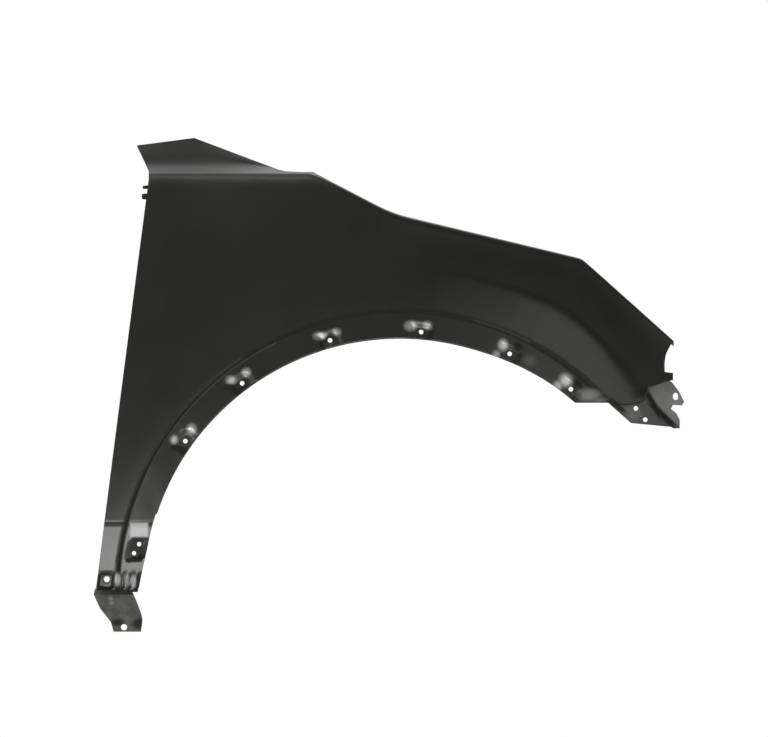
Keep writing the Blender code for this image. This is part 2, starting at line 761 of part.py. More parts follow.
def sheet_from_outline(outline, depth, folds):
    """A flat outline in the side view, divided into strips and pressed to a depth."""
    bm = bmesh.new()
    bm.faces.new([bm.verts.new(in_space(point, 0.0)) for point in outline])
    low = min(point.y for point in outline)
    high = max(point.y for point in outline)
    left = min(point.x for point in outline)
    right = max(point.x for point in outline)
    heights = even_steps(low, high, STRIP_WIDTH) + list(folds)
    cuts = [(Vector((0.0, 0.0, height)), Vector((0.0, 0.0, 1.0))) for height in heights]
    for forward in even_steps(left, right, STRIP_WIDTH):
        cuts.append((Vector((forward, 0.0, 0.0)), Vector((1.0, 0.0, 0.0))))
    for place, normal in cuts:
        geometry = bm.verts[:] + bm.edges[:] + bm.faces[:]
        bmesh.ops.bisect_plane(bm, geom=geometry, dist=JOIN_DISTANCE, plane_co=place, plane_no=normal)
    for vert in bm.verts:
        vert.co.y = depth(vert.co.xz)
    return bm


def add_object(name, bm, colour, frame):
    mesh = bpy.data.meshes.new(name)
    bm.to_mesh(mesh)
    bm.free()
    part = bpy.data.objects.new(name, mesh)
    bpy.context.scene.collection.objects.link(part)
    part.parent = frame
    material = bpy.data.materials.new(name + "_finish")
    material.use_nodes = True
    shader = material.node_tree.nodes["Principled BSDF"]
    shader.inputs["Base Color"].default_value = colour
    shader.inputs["Roughness"].default_value = PRIMER_ROUGHNESS
    mesh.materials.append(material)
    return part


def thicken(part, thickness):
    """Give a sheet its thickness on the inboard side."""
    solid = part.modifiers.new("Sheet", "SOLIDIFY")
    solid.thickness = thickness
    solid.offset = -1.0
    solid.use_even_offset = True
    return solid


def cut_with(part, cutters, frame):
    """Cut a part with closed cutters, kept as a hidden object."""
    bmesh.ops.recalc_face_normals(cutters, faces=cutters.faces)
    cutter = add_object(part.name + "_cutters", cutters, GREY_PRIMER, frame)
    cutter.hide_render = True
    cutter.display_type = "WIRE"
    cut = part.modifiers.new("Holes", "BOOLEAN")
    cut.operation = "DIFFERENCE"
    cut.object = cutter


def make_panel(frame):
    angles = column_angles()
    bm = bmesh.new()
    grid = loft_skin(bm, angles)
    add_arch_lip(bm, grid, angles)
    add_top_edge(bm, grid, angles)
    add_door_flange(bm, grid, angles)
    add_front_edge(bm, grid)
    trim_arch_flange(bm, grid)
    face_outboard(bm)
    panel = add_object("fender_panel", bm, EPRIMER, frame)
    thicken(panel, SHEET)
    cut_with(panel, panel_cutters(), frame)


def bumper_bracket_depth(place):
    """The bracket carries on behind the corner tab's surface."""
    return corner_depth(place) + SHEET + BUMPER_BRACKET_CLEARANCE


def bumper_bracket_point(x, z):
    """A point of the bracket's box, from its shares."""
    corner = SKIN_CORNER + Vector((BUMPER_BRACKET_REACH, -BUMPER_BRACKET_DROP))
    return corner + Vector((BUMPER_BRACKET_WIDTH * x, BUMPER_BRACKET_HEIGHT * z))


def make_bumper_bracket(frame):
    outline = [bumper_bracket_point(*shares) for shares in BUMPER_BRACKET_shares]
    bm = sheet_from_outline(outline, bumper_bracket_depth, [SKIN_CORNER.y + TAB_TOP_RISE])
    face_outboard(bm)
    bracket = add_object("bumper_bracket", bm, GREY_PRIMER, frame)
    thicken(bracket, BRACKET_SHEET)
    slot = bumper_bracket_point(*BUMPER_SLOT_shares)
    cut_with(bracket, slot_cutter(slot, bumper_bracket_depth(slot)), frame)


def slot_cutter(slot, depth):
    """A closed cutter for an upright slot with round ends: the hull of two round cutters."""
    bm = bmesh.new()
    for side in (-1, 1):
        end = slot + Vector((0.0, side * (BUMPER_SLOT_LENGTH - BUMPER_SLOT_WIDTH) / 2))
        centre = in_space(end, depth)
        add_round_cutter(bm, centre, Vector((0.0, 1.0, 0.0)), BUMPER_SLOT_WIDTH, 2 * CUT_OVERRUN)
    bmesh.ops.delete(bm, geom=bm.faces[:], context="FACES_ONLY")
    bmesh.ops.convex_hull(bm, input=bm.verts[:])
    loose = [edge for edge in bm.edges if not edge.link_faces]
    bmesh.ops.delete(bm, geom=loose, context="EDGES")
    return bm


def sill_bracket_depth(place):
    """The bracket lies on the backs of the leg's beads, then steps and tilts inboard below them."""
    depth = skin_depth(place) + RECESS_DEPTH + BEAD_DEPTH + SHEET + WELD_GAP
    depth += SILL_BRACKET_STEP * (1.0 - ramp(place.y, LEG_FOOT_HEIGHT - SILL_BRACKET_STEP, LEG_FOOT_HEIGHT))
    length = SILL_BRACKET_DROP - SILL_TAB_LENGTH
    return depth + SILL_BRACKET_TILT * min(1.0, max(0.0, (LEG_FOOT_HEIGHT - place.y) / length))


def sill_bracket_point(x, z):
    """A point of the bracket's box, from its shares."""
    corner = door_edge(LEG_FOOT_HEIGHT) - Vector((SILL_BRACKET_OVERHANG, SILL_BRACKET_DROP))
    return corner + Vector((SILL_BRACKET_WIDTH * x, SILL_BRACKET_HEIGHT * z))


def make_sill_bracket(frame):
    outline = [sill_bracket_point(*shares) for shares in SILL_BRACKET_shares]
    foot = LEG_FOOT_HEIGHT
    folds = (foot - SILL_BRACKET_DROP + SILL_TAB_LENGTH, foot - SILL_BRACKET_STEP, foot)
    bm = sheet_from_outline(outline, sill_bracket_depth, folds)
    face_outboard(bm)
    bracket = add_object("sill_bracket", bm, OLIVE_PRIMER, frame)
    thicken(bracket, BRACKET_SHEET)
    cutters = bmesh.new()
    hole = sill_bracket_point(*SILL_HOLE_shares)
    centre = in_space(hole, sill_bracket_depth(hole))
    add_round_cutter(cutters, centre, Vector((0.0, 1.0, 0.0)), SILL_HOLE, 2 * CUT_OVERRUN)
    cut_with(bracket, cutters, frame)


def under_land(angle, share):
    """A point below the land's sheet, at the weld gap."""
    along = land_point(TIP_PEAK_DEGREES, share) - land_point(SHOULDER_DEGREES, share)
    across = land_point(angle, WELD_FLANGE_shares[0]) - land_point(angle, WELD_FLANGE_shares[1])
    return land_point(angle, share) - along.cross(across).normalized() * (SHEET + WELD_GAP)


def make_pillar_bracket(frame):
    bm = bmesh.new()
    inboard, outboard = WELD_FLANGE_shares
    places = [SHOULDER_REAR + Vector((inset, 0.0)) for inset in PILLAR_BRACKET_INSETS]
    angles = [polar_degrees(place - Vector((0.0, ROLL_DROP[0]))) for place in places]
    row = start_chain(bm, [under_land(angle, inboard) for angle in angles])
    bend = [under_land(angle, outboard) for angle in angles]
    row = extrude_row(bm, row, bend)
    depth = max(point.y for point in bend)
    drops = (UPPER_PRONG_DROP, UPPER_PRONG_DROP + UPPER_PRONG_DEPTH)
    drops += (LOWER_PRONG_DROP, LOWER_PRONG_DROP + LOWER_PRONG_DEPTH, PILLAR_BRACKET_DROP)
    rear_edge = []
    for drop in drops:
        row = extrude_row(bm, row, [Vector((point.x, depth, SHOULDER_HEIGHT - drop)) for point in bend])
        rear_edge.append(row[0])
    add_prong(bm, rear_edge[0:2], UPPER_PRONG_REACH)
    add_prong(bm, rear_edge[2:4], LOWER_PRONG_REACH)
    face_outboard(bm)
    bracket = add_object("pillar_bracket", bm, EPRIMER, frame)
    thicken(bracket, BRACKET_SHEET)


def add_prong(bm, root, reach):
    """A prong that tapers from its root to its tip, which stands out behind the door edge."""
    middle = (root[0].co.z + root[1].co.z) / 2
    tip = door_edge(middle).x - reach
    points = []
    for vert in root:
        points.append(Vector((tip, vert.co.y, lerp(middle, vert.co.z, PRONG_TIP_SHARE))))
    extrude_row(bm, root, points)


def main():
    for item in list(bpy.data.objects):
        bpy.data.objects.remove(item)
    frame = bpy.data.objects.new("fender_frame", None)
    bpy.context.scene.collection.objects.link(frame)
    mount = ledge_pad_centre(LEDGE_PAD_FORWARD[0]) - Vector((0.0, 0.0, SHEET))
    frame.location = -mount
    make_panel(frame)
    make_pillar_bracket(frame)
    make_sill_bracket(frame)
    make_bumper_bracket(frame)


main()
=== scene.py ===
from math import pi, radians

import bmesh
import bpy
from mathutils import Euler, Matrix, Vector


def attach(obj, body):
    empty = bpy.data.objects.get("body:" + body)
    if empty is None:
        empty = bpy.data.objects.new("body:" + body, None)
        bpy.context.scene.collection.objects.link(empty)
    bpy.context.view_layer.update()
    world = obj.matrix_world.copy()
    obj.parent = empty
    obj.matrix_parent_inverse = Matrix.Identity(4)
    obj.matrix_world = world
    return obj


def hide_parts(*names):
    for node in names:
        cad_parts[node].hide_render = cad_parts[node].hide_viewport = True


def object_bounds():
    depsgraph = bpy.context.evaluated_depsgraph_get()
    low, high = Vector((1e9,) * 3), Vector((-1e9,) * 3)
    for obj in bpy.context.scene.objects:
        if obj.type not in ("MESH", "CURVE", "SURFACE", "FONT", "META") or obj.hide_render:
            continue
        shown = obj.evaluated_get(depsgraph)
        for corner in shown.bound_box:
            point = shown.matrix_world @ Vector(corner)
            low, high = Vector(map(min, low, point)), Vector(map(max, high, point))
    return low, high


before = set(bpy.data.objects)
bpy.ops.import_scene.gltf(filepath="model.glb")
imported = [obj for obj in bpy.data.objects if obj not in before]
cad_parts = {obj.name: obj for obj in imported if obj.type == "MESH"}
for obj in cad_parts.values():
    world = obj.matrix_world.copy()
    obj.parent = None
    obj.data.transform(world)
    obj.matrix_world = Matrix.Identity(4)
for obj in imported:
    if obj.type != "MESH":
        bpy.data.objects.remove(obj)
cad_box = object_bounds()
scene = bpy.context.scene
scene.view_settings.view_transform = "Standard"


# The photographer's view: level and square on to the skin, from far off, so that the side
# shows almost without perspective.
VIEW_MIDDLE = Vector((-0.04325, 0.0, -0.20055))
VIEW_DISTANCE = 25.0
VIEW_WIDTH = 1.152
VIEW_LIMIT = 80.0
SENSOR_WIDTH = 36.0

lens = bpy.data.cameras.new("side_view")
lens.sensor_width = SENSOR_WIDTH
lens.lens = SENSOR_WIDTH * VIEW_DISTANCE / VIEW_WIDTH
lens.clip_end = VIEW_LIMIT
camera = bpy.data.objects.new("side_view", lens)
camera.location = VIEW_MIDDLE - Vector((0.0, VIEW_DISTANCE, 0.0))
camera.rotation_euler = (radians(90.0), 0.0, 0.0)
scene.collection.objects.link(camera)
scene.camera = camera


# The studio's surround: white to the eye. What it sheds is dim on the side behind the viewer,
# bright low down in front of the panel, as a pale floor is, and soft above and behind.

# Each row is an elevation in degrees and a strength, from straight behind the panel, down and
# round by the viewer, and up
SURROUND_STRENGTHS = (
    (-180.0, 0.80),
    (-150.0, 1.00),
    (-125.0, 0.40),
    (-115.0, 0.25),
    (-90.0, 0.80),
    (-50.0, 1.30),
    (-25.0, 1.60),
    (-12.0, 0.75),
    (-4.0, 0.30),
    (6.0, 0.07),
    (35.0, 0.07),
    (60.0, 0.20),
    (100.0, 0.33),
    (120.0, 0.27),
    (140.0, 0.58),
    (180.0, 0.80),
)
SURROUND_PEAK = 1.8
SURROUND_START = SURROUND_STRENGTHS[0][0]
SURROUND_END = SURROUND_STRENGTHS[-1][0]
WHITE = (1.0, 1.0, 1.0, 1.0)

world = bpy.data.worlds.new("surround")
scene.world = world
world.use_nodes = True
sky = world.node_tree
sky.nodes.clear()
direction = sky.nodes.new("ShaderNodeTexCoord")
split = sky.nodes.new("ShaderNodeSeparateXYZ")
forward = sky.nodes.new("ShaderNodeMath")
forward.operation = "MULTIPLY"
forward.inputs[1].default_value = -1.0
elevation = sky.nodes.new("ShaderNodeMath")
elevation.operation = "ARCTAN2"
turn = sky.nodes.new("ShaderNodeMapRange")
turn.inputs["From Min"].default_value = radians(SURROUND_START)
turn.inputs["From Max"].default_value = radians(SURROUND_END)
slope = sky.nodes.new("ShaderNodeValToRGB")
slope.color_ramp.interpolation = "EASE"
for degrees, _ in SURROUND_STRENGTHS[1:-1]:
    slope.color_ramp.elements.new((degrees - SURROUND_START) / (SURROUND_END - SURROUND_START))
for stop, (_, strength) in zip(slope.color_ramp.elements, SURROUND_STRENGTHS):
    stop.color = [strength / SURROUND_PEAK] * 3 + [1.0]
shed = sky.nodes.new("ShaderNodeBackground")
shed.inputs["Strength"].default_value = SURROUND_PEAK
seen = sky.nodes.new("ShaderNodeBackground")
seen.inputs["Color"].default_value = WHITE
path = sky.nodes.new("ShaderNodeLightPath")
mix = sky.nodes.new("ShaderNodeMixShader")
output = sky.nodes.new("ShaderNodeOutputWorld")
sky.links.new(direction.outputs["Generated"], split.inputs["Vector"])
sky.links.new(split.outputs["Y"], forward.inputs[0])
sky.links.new(split.outputs["Z"], elevation.inputs[0])
sky.links.new(forward.outputs["Value"], elevation.inputs[1])
sky.links.new(elevation.outputs["Value"], turn.inputs["Value"])
sky.links.new(turn.outputs["Result"], slope.inputs["Fac"])
sky.links.new(slope.outputs["Color"], shed.inputs["Color"])
sky.links.new(path.outputs["Is Camera Ray"], mix.inputs["Fac"])
sky.links.new(shed.outputs["Background"], mix.inputs[1])
sky.links.new(seen.outputs["Background"], mix.inputs[2])
sky.links.new(mix.outputs["Shader"], output.inputs["Surface"])


# The studio's lamps: a wide soft fill in front, a lamp above and behind, and white cards that
# only show as reflections, each laid to give one bright band on the sheet.

# Each row is a name, the place that the lamp faces, its elevation and azimuth in degrees from
# there, its distance, width, height and brightness
BACK_LIGHT = ("back_light", (0.25, 0.0, 0.0), 135.0, 6.0, 2.5, 1.3, 1.4, 1.5)
FILL = ("fill", (0.0, 0.0, -0.2), 13.0, -14.0, 6.3, 4.0, 4.0, 2.4)
CARDS = (
    ("floor_card", (-0.43, -0.03, -0.48), -27.0, 0.0, 2.5, 1.3, 0.8, 8.6),
    ("shoulder_card", (-0.28, -0.03, 0.09), 55.0, 0.0, 0.5, 0.35, 0.40, 2.2),
    ("roll_card", (-0.28, -0.028, 0.09), 94.0, 0.0, 0.20, 0.35, 0.05, 1.1),
    ("side_card", (0.20, 0.0, -0.20), -2.0, 30.0, 2.5, 1.0, 0.7, 1.15),
    ("flare_card", (0.10, 0.0, -0.10), 11.0, 12.0, 2.5, 0.6, 0.8, 0.45),
)


def add_lamp(name, aim, elevation, azimuth, distance, width, height, brightness):
    """A flat lamp that faces a place from in front of it, at an elevation and an azimuth."""
    light = bpy.data.lights.new(name, "AREA")
    light.shape = "RECTANGLE"
    light.size = width
    light.size_y = height
    light.energy = brightness * width * height * pi
    lamp = bpy.data.objects.new(name, light)
    away = Vector((0.0, -1.0, 0.0))
    away.rotate(Euler((-radians(elevation), 0.0, radians(azimuth))))
    lamp.location = Vector(aim) + away * distance
    lamp.rotation_euler = away.to_track_quat("Z", "Y").to_euler()
    scene.collection.objects.link(lamp)
    return lamp


add_lamp(*BACK_LIGHT)
fill = add_lamp(*FILL)
fill.visible_glossy = False
for row in CARDS:
    card = add_lamp(*row)
    card.visible_camera = False
    card.visible_diffuse = False


# The studio's floor: one plain pale sheet, some way below the fender, which hangs over it as
# it hangs on the car. The eye sees it a little brighter than the lamps alone would show it.
FLOOR_DROP = 0.3
FLOOR_HALF_WIDTH = 2.5
FLOOR_COLOUR = (0.82, 0.82, 0.82, 1.0)
FLOOR_ROUGHNESS = 0.9
FLOOR_GLOW = 0.55

bm = bmesh.new()
bmesh.ops.create_grid(bm, x_segments=1, y_segments=1, size=FLOOR_HALF_WIDTH)
bmesh.ops.translate(bm, verts=bm.verts, vec=(0.0, 0.0, cad_box[0][2] - FLOOR_DROP))
floor_mesh = bpy.data.meshes.new("floor")
bm.to_mesh(floor_mesh)
bm.free()
floor = bpy.data.objects.new("floor", floor_mesh)
scene.collection.objects.link(floor)
pale = bpy.data.materials.new("pale_floor")
pale.use_nodes = True
paint = pale.node_tree
surface = paint.nodes["Principled BSDF"]
surface.inputs["Base Color"].default_value = FLOOR_COLOUR
surface.inputs["Roughness"].default_value = FLOOR_ROUGHNESS
glow = paint.nodes.new("ShaderNodeEmission")
glow_path = paint.nodes.new("ShaderNodeLightPath")
glow_strength = paint.nodes.new("ShaderNodeMath")
glow_strength.operation = "MULTIPLY"
glow_strength.inputs[1].default_value = FLOOR_GLOW
together = paint.nodes.new("ShaderNodeAddShader")
paint.links.new(glow_path.outputs["Is Camera Ray"], glow_strength.inputs[0])
paint.links.new(glow_strength.outputs["Value"], glow.inputs["Strength"])
paint.links.new(surface.outputs["BSDF"], together.inputs[0])
paint.links.new(glow.outputs["Emission"], together.inputs[1])
paint.links.new(together.outputs["Shader"], paint.nodes["Material Output"].inputs["Surface"])
floor_mesh.materials.append(pale)
floor.visible_glossy = False
floor.visible_diffuse = False


# The panel: one deep-drawn stamping of thin steel sheet, from the pillar tip to the corner tab
# and down the leg. It is dipped in black primer and baked, and on the car it hangs on bolts
# through the ledge under the hood, the leg and the corner tab.
BLACK_COLOUR = (0.0215, 0.0219, 0.0183)
BLACK_SHADES = (0.88, 1.12)
BLACK_ROUGHNESS = 0.30
CLOUD_GRAIN = 9.0
CLOUD_DETAIL = 5.0
CLOUD_RANGE = (0.3, 0.7)
CLOUD_GLOSS = (-0.02, 0.04)
PEEL_GRAIN = 420.0
PEEL_DETAIL = 2.0
PEEL_STRENGTH = 0.25
PEEL_HEIGHT = 0.00006


def dip_primer(name, colour, shades, roughness, grain):
    """A dipped and baked primer: a cloudy tone and gloss, and a faint orange peel."""
    material = bpy.data.materials.new(name)
    material.use_nodes = True
    tree = material.node_tree
    shader = tree.nodes["Principled BSDF"]
    place = tree.nodes.new("ShaderNodeTexCoord")
    cloud = tree.nodes.new("ShaderNodeTexNoise")
    cloud.inputs["Scale"].default_value = grain
    cloud.inputs["Detail"].default_value = CLOUD_DETAIL
    tree.links.new(place.outputs["Object"], cloud.inputs["Vector"])
    tone = tree.nodes.new("ShaderNodeValToRGB")
    for stop, position, shade in zip(tone.color_ramp.elements, CLOUD_RANGE, shades):
        stop.position = position
        stop.color = [channel * shade for channel in colour] + [1.0]
    tree.links.new(cloud.outputs["Fac"], tone.inputs["Fac"])
    tree.links.new(tone.outputs["Color"], shader.inputs["Base Color"])
    gloss = tree.nodes.new("ShaderNodeMapRange")
    gloss.inputs["From Min"].default_value = CLOUD_RANGE[0]
    gloss.inputs["From Max"].default_value = CLOUD_RANGE[1]
    gloss.inputs["To Min"].default_value = roughness + CLOUD_GLOSS[0]
    gloss.inputs["To Max"].default_value = roughness + CLOUD_GLOSS[1]
    tree.links.new(cloud.outputs["Fac"], gloss.inputs["Value"])
    tree.links.new(gloss.outputs["Result"], shader.inputs["Roughness"])
    peel = tree.nodes.new("ShaderNodeTexNoise")
    peel.inputs["Scale"].default_value = PEEL_GRAIN
    peel.inputs["Detail"].default_value = PEEL_DETAIL
    tree.links.new(place.outputs["Object"], peel.inputs["Vector"])
    bump = tree.nodes.new("ShaderNodeBump")
    bump.inputs["Strength"].default_value = PEEL_STRENGTH
    bump.inputs["Distance"].default_value = PEEL_HEIGHT
    tree.links.new(peel.outputs["Fac"], bump.inputs["Height"])
    tree.links.new(bump.outputs["Normal"], shader.inputs["Normal"])
    return material


panel_coat = dip_primer(
    "panel_dip_primer", BLACK_COLOUR, BLACK_SHADES, BLACK_ROUGHNESS, CLOUD_GRAIN
)

# The line where the skin steps down to the arch flange, all round the wheel
STEP_LINE_RADIUS = 0.4250
STEP_LINE_HALF_WIDTH = 0.0042
STEP_LINE_MIDDLE = (-0.0185, -0.53881)

# Marks lie in the side view. Each row is a shape, the X and Z of its middle, half its width
# and height, its softness and strength, and on some the angle that it leans at.
# Painted shade: darker in the seam under the leg's lower edge above the foot, in the step line's
# groove, down the rear of the arch flange, in the leg's pad and socket, and beside the two front
# clip pads
PAINTED_SHADE_MARKS = (
    ("square", -0.4280, -0.5350, 0.0450, 0.0030, 0.4, 0.8),
    ("ring", *STEP_LINE_MIDDLE, STEP_LINE_RADIUS, STEP_LINE_RADIUS, 0.6, 0.6),
    ("round", -0.3680, -0.3400, 0.0260, 0.0550, 0.8, 0.45),
    ("round", -0.3950, -0.4000, 0.0160, 0.0300, 0.8, 0.30),
    ("round", -0.4150, -0.4710, 0.0100, 0.0130, 0.5, 0.60),
    ("round", -0.4607, -0.5163, 0.0090, 0.0090, 0.6, 0.40),
    ("round", 0.1570, -0.1695, 0.0065, 0.0080, 0.7, 0.85),
    ("round", 0.2470, -0.2250, 0.0065, 0.0085, 0.7, 0.85),
)
# The look of painted shade: near black, dull, with little reflection
PAINTED_SHADE = {"Base Color": (0.012, 0.012, 0.011, 1.0), "Specular IOR Level": 0.1, "Roughness": 0.7}

# Painted highlights: paler patches above the leg's pad, on its beads, and at the front end of the
# arch flange, where the sheet catches the light
PAINTED_HIGHLIGHT_MARKS = (
    ("square", -0.4102, -0.4422, 0.0136, 0.0108, 0.18, 0.80),
    ("round", -0.4425, -0.5170, 0.0040, 0.0090, 0.5, 0.90),
    ("round", -0.4290, -0.5170, 0.0036, 0.0090, 0.5, 0.38),
    ("round", -0.4190, -0.5200, 0.0040, 0.0090, 0.5, 0.60),
    ("round", 0.1750, -0.1890, 0.0080, 0.0065, 0.9, 0.10),
    ("round", 0.2640, -0.2405, 0.0150, 0.0080, 0.7, 0.36),
    ("round", 0.2790, -0.2475, 0.0100, 0.0040, 0.7, 0.22),
    ("round", 0.3300, -0.2690, 0.0130, 0.0110, 0.6, 0.10),
)
PAINTED_HIGHLIGHT = {"Base Color": (0.55, 0.54, 0.54, 1.0), "Specular IOR Level": 0.5, "Roughness": 0.3}

# The shoulder roll, dulled by handling
SHOULDER_ROLL = (("square", -0.2700, 0.0912, 0.1400, 0.0130, 0.6, 0.9),)
DULLED = {"Roughness": 0.42}

# Painted shade along the fold at the corner tab, and down its seam with the bumper bracket, where
# the fold turns away from the light
PAINTED_FOLD_SHADE = (
    ("round", 0.3425, -0.2370, 0.0120, 0.0095, 0.8, 0.80),
    ("square", 0.3085, -0.2568, 0.0026, 0.0140, 0.6, 0.80, radians(47.0)),
    ("square", 0.3587, -0.2490, 0.0046, 0.0200, 0.6, 0.97, radians(31.0)),
    ("square", 0.3660, -0.2620, 0.0046, 0.0140, 0.6, 0.97, radians(38.0)),
    ("square", 0.3800, -0.2745, 0.0046, 0.0250, 0.6, 0.97, radians(45.0)),
)

# Painted glints: pale, metal-like spots at the corners of the clip pads, where their slopes catch
# the light
PAINTED_GLINT_MARKS = (
    ("round", -0.3575, -0.3070, 0.0048, 0.0055, 0.8, 0.75),
    ("round", -0.3312, -0.2915, 0.0060, 0.0070, 0.8, 0.85),
    ("round", -0.2723, -0.2178, 0.0065, 0.0055, 0.8, 0.75),
    ("round", -0.2493, -0.2062, 0.0055, 0.0055, 0.8, 0.80),
    ("round", -0.1399, -0.1521, 0.0075, 0.0050, 0.8, 0.75),
    ("round", -0.1138, -0.1458, 0.0055, 0.0050, 0.8, 0.50),
    ("round", -0.0034, -0.1368, 0.0075, 0.0060, 0.8, 0.85),
    ("round", 0.0217, -0.1361, 0.0060, 0.0055, 0.8, 0.50),
    ("round", 0.1350, -0.1653, 0.0062, 0.0072, 0.8, 0.90),
    ("round", 0.1250, -0.1790, 0.0050, 0.0050, 0.8, 0.55),
    ("round", 0.2287, -0.2186, 0.0080, 0.0085, 0.8, 0.95),
    ("round", 0.2175, -0.2255, 0.0060, 0.0060, 0.8, 0.75),
)
# The look of the painted glints: pale and mostly metallic
PAINTED_GLINT = {"Base Color": (0.52, 0.52, 0.50, 1.0), "Metallic": 0.8, "Roughness": 0.42}


def add_marks(tree, place, marks):
    """A mask of all the marks in a group, from the rows that give them."""
    total = None
    for shape, x, z, half_width, half_height, softness, strength, *lean in marks:
        start = place
        if lean:
            tilt = tree.nodes.new("ShaderNodeVectorRotate")
            tilt.rotation_type = "Y_AXIS"
            tilt.inputs["Center"].default_value = (x, 0.0, z)
            tilt.inputs["Angle"].default_value = lean[0]
            tree.links.new(place, tilt.inputs["Vector"])
            start = tilt.outputs["Vector"]
        local = tree.nodes.new("ShaderNodeVectorMath")
        local.operation = "MULTIPLY_ADD"
        local.inputs[1].default_value = (1.0 / half_width, 0.0, 1.0 / half_height)
        local.inputs[2].default_value = (-x / half_width, 0.0, -z / half_height)
        tree.links.new(start, local.inputs[0])
        reach = tree.nodes.new("ShaderNodeVectorMath")
        if shape == "square":
            reach.operation = "ABSOLUTE"
            axes = tree.nodes.new("ShaderNodeSeparateXYZ")
            longest = tree.nodes.new("ShaderNodeMath")
            longest.operation = "MAXIMUM"
            tree.links.new(reach.outputs["Vector"], axes.inputs["Vector"])
            tree.links.new(axes.outputs["X"], longest.inputs[0])
            tree.links.new(axes.outputs["Z"], longest.inputs[1])
            distance = longest.outputs["Value"]
        else:
            reach.operation = "LENGTH"
            distance = reach.outputs["Value"]
        if shape == "ring":
            inside = tree.nodes.new("ShaderNodeMath")
            inside.operation = "SUBTRACT"
            inside.inputs[1].default_value = 1.0
            scaled = tree.nodes.new("ShaderNodeMath")
            scaled.operation = "MULTIPLY"
            scaled.inputs[1].default_value = half_width / STEP_LINE_HALF_WIDTH
            size = tree.nodes.new("ShaderNodeMath")
            size.operation = "ABSOLUTE"
            tree.links.new(distance, inside.inputs[0])
            tree.links.new(inside.outputs["Value"], scaled.inputs[0])
            tree.links.new(scaled.outputs["Value"], size.inputs[0])
            distance = size.outputs["Value"]
        tree.links.new(local.outputs["Vector"], reach.inputs[0])
        fade = tree.nodes.new("ShaderNodeMapRange")
        fade.interpolation_type = "SMOOTHSTEP"
        fade.inputs["From Min"].default_value = 1.0 + softness
        fade.inputs["From Max"].default_value = 1.0 - softness
        fade.inputs["To Max"].default_value = strength
        tree.links.new(distance, fade.inputs["Value"])
        if total is None:
            total = fade.outputs["Result"]
        else:
            both = tree.nodes.new("ShaderNodeMath")
            both.operation = "MAXIMUM"
            tree.links.new(total, both.inputs[0])
            tree.links.new(fade.outputs["Result"], both.inputs[1])
            total = both.outputs["Value"]
    return total


# A mix's two inputs and its result, by number, for a colour and for a plain value
COLOUR_SOCKETS = (6, 7, 2)
VALUE_SOCKETS = (2, 3, 0)


def blend_in(tree, socket, mask, value):
    """Blend what feeds a socket, or its own value, towards another value under a mask."""
    coloured = socket.type == "RGBA"
    mix = tree.nodes.new("ShaderNodeMix")
    mix.data_type = "RGBA" if coloured else "FLOAT"
    first, second, result = COLOUR_SOCKETS if coloured else VALUE_SOCKETS
    if socket.is_linked:
        tree.links.new(socket.links[0].from_socket, mix.inputs[first])
    else:
        mix.inputs[first].default_value = socket.default_value
    mix.inputs[second].default_value = value
    tree.links.new(mask, mix.inputs[0])
    tree.links.new(mix.outputs[result], socket)


def mark_finish_and_painted_light(material, marks, finish_and_painted_light):
    """Give a primer's outer face another finish inside a group of marks; some groups paint in light
    or shade.
    """
    tree = material.node_tree
    place = next(node for node in tree.nodes if node.type == "TEX_COORD")
    facing = tree.nodes.new("ShaderNodeSeparateXYZ")
    tree.links.new(place.outputs["Normal"], facing.inputs["Vector"])
    outer = tree.nodes.new("ShaderNodeMath")
    outer.operation = "LESS_THAN"
    outer.inputs[1].default_value = 0.0
    tree.links.new(facing.outputs["Y"], outer.inputs[0])
    shown = tree.nodes.new("ShaderNodeMath")
    shown.operation = "MULTIPLY"
    tree.links.new(add_marks(tree, place.outputs["Object"], marks), shown.inputs[0])
    tree.links.new(outer.outputs["Value"], shown.inputs[1])
    shader = tree.nodes["Principled BSDF"]
    for name, value in finish_and_painted_light.items():
        blend_in(tree, shader.inputs[name], shown.outputs["Value"], value)


# Painted shade, painted highlights and painted glints on the panel's outer face, and its dulled
# shoulder
mark_finish_and_painted_light(panel_coat, PAINTED_SHADE_MARKS, PAINTED_SHADE)
mark_finish_and_painted_light(panel_coat, PAINTED_HIGHLIGHT_MARKS, PAINTED_HIGHLIGHT)
mark_finish_and_painted_light(panel_coat, SHOULDER_ROLL, DULLED)
mark_finish_and_painted_light(panel_coat, PAINTED_FOLD_SHADE, PAINTED_SHADE)
mark_finish_and_painted_light(panel_coat, PAINTED_GLINT_MARKS, PAINTED_GLINT)

# Rims and corners stay sharp, bends are eased, and flat facets run into each other
JOIN_DISTANCE = 0.00002
FACET_ANGLE = radians(25.0)
FACET_SKEW = radians(60.0)
RIM_ANGLE = radians(62.0)
BEND_ANGLE = radians(36.0)
BEND_CREASE = 0.55
CORNER_ANGLE = radians(28.0)
PANEL_SMOOTHING = 2
BRACKET_SMOOTHING = 1


